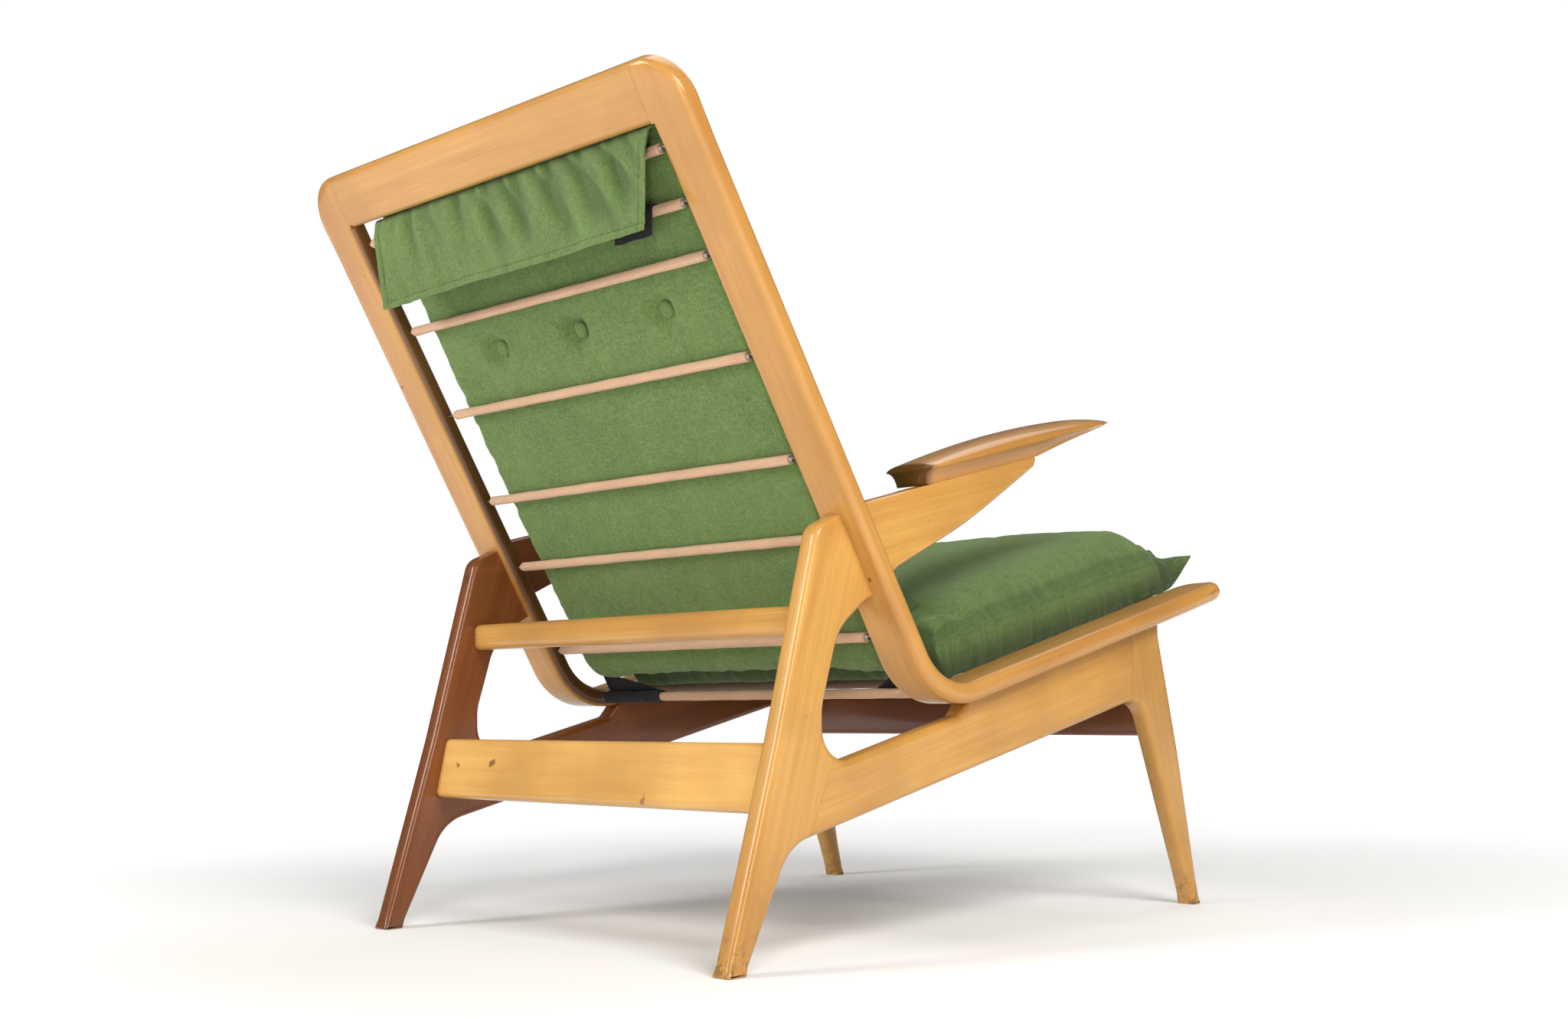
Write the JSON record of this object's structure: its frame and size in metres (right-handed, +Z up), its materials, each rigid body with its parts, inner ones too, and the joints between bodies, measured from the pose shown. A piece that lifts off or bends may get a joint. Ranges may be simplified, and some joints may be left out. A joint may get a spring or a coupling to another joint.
{
  "type": "lounge armchair",
  "caption": "Low wooden lounge armchair: bent side planks strung with sleeved springs on a splayed frame, sculpted armrests, a loose seat cushion and a tied back cushion.",
  "frame": {"origin": "on the floor, at the middle of the chair's outer box", "axes": "+X towards the sitter's left, +Y towards the rear, +Z up; the chair faces -Y"},
  "size_m": [0.724, 0.887, 0.9105],
  "materials": {
    "varnished_wood": "glossy honey varnish over visible grain",
    "dowel_wood": "plain",
    "spring_sleeve": "pinkish beige woven sleeve",
    "spring_steel": "dull",
    "green_weave": "heathered mid-green weave",
    "black_tape": "black woven tape"
  },
  "bodies": {
    "chair_frame": {"side_plank_left": "varnished_wood", "side_plank_right": "varnished_wood", "crest_rail": "varnished_wood", "seat_front_rail": "varnished_wood", "rear_leg_left": "varnished_wood", "rear_leg_right": "varnished_wood", "side_rail_left": "varnished_wood", "side_rail_right": "varnished_wood", "front_leg_left": "varnished_wood", "front_leg_right": "varnished_wood", "upper_stretcher": "varnished_wood", "lower_stretcher": "varnished_wood", "front_cross_rail": "varnished_wood", "arm_bracket_left": "varnished_wood", "arm_bracket_right": "varnished_wood", "arm_pad_left": "varnished_wood", "arm_pad_right": "varnished_wood", "crest_dowels": "dowel_wood", "seat_rail_dowels": "dowel_wood", "stretcher_dowels": "dowel_wood", "side_frame_dowels": "dowel_wood", "shell_dowels": "dowel_wood", "arm_dowels": "dowel_wood", "back_sleeve_1": "spring_sleeve", "back_sleeve_2": "spring_sleeve", "back_sleeve_3": "spring_sleeve", "back_sleeve_4": "spring_sleeve", "back_sleeve_5": "spring_sleeve", "back_sleeve_6": "spring_sleeve", "back_sleeve_7": "spring_sleeve", "back_sleeve_8": "spring_sleeve", "seat_sleeve_1": "spring_sleeve", "seat_sleeve_2": "spring_sleeve", "seat_sleeve_3": "spring_sleeve", "seat_sleeve_4": "spring_sleeve", "seat_sleeve_5": "spring_sleeve", "back_spring_coils": "spring_steel", "seat_spring_coils": "spring_steel", "back_cushion": "green_weave", "cushion_buttons": "green_weave", "flap_fold": "green_weave", "lower_ties": "black_tape", "flap_tie": "black_tape"},
    "loose_seat": {"seat_cushion": "green_weave"},
    "flap": {"back_flap": "green_weave"}
  },
  "joints": [
    {"name": "seat_cushion_slide", "type": "slide", "parent": "chair_frame", "child": "loose_seat", "axis": [0, -0.9703, 0.2419], "range_m": [0, 0.3]},
    {"name": "back_flap_swing", "type": "hinge", "parent": "chair_frame", "child": "flap", "pos_m": [-0.012, 0.39921, 0.8248], "axis": [1, 0, 0], "range_deg": [-10, 100]}
  ]
}
